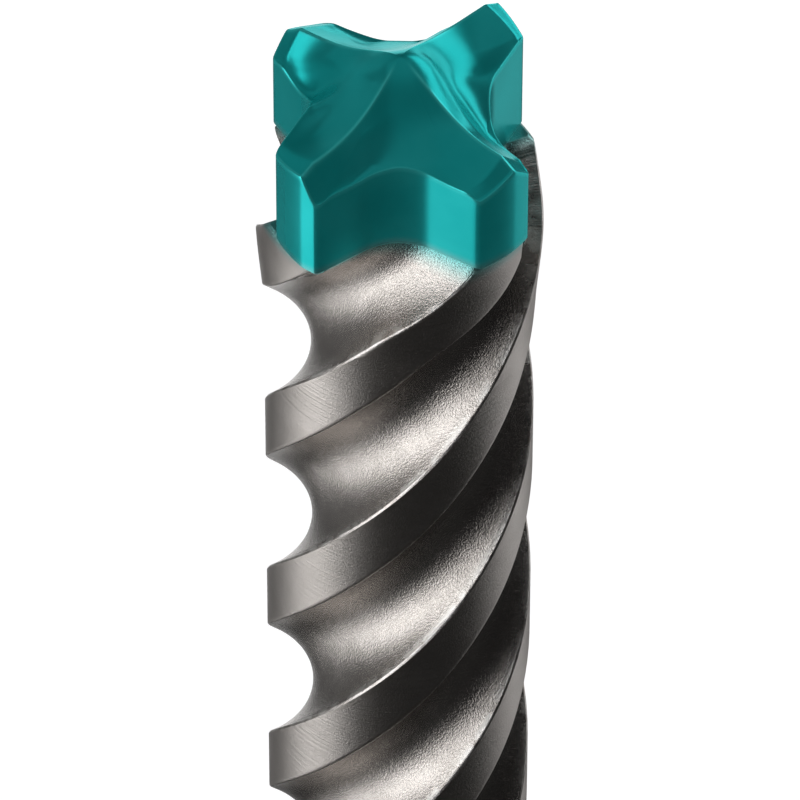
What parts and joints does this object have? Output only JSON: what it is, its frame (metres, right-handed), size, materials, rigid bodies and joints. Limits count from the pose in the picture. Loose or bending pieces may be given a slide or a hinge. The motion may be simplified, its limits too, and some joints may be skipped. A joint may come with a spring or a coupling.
{
  "type": "hammer drill bit",
  "caption": "Drill bit for a rotary hammer: four-winged one-piece carbide head, steel body with four spiral flutes, and a grooved quick-change shank.",
  "frame": {"origin": "centre of the shank's end face, which the bit stands on", "axes": "+Z along the bit's axis, from the shank to the tip; -Y is the front of the picture, and the bit turns from -Y towards +X at work"},
  "size_m": [0.0152, 0.0152, 0.16],
  "materials": {
    "blasted_steel": "grit-blasted and nickel-grey hardened steel, with finely ground lands",
    "teal_carbide": "satin teal coat on sintered carbide, fading into bare steel at the weld"
  },
  "bodies": {
    "root": {"steel_body": "blasted_steel", "carbide_head": "teal_carbide"}
  },
  "joints": []
}
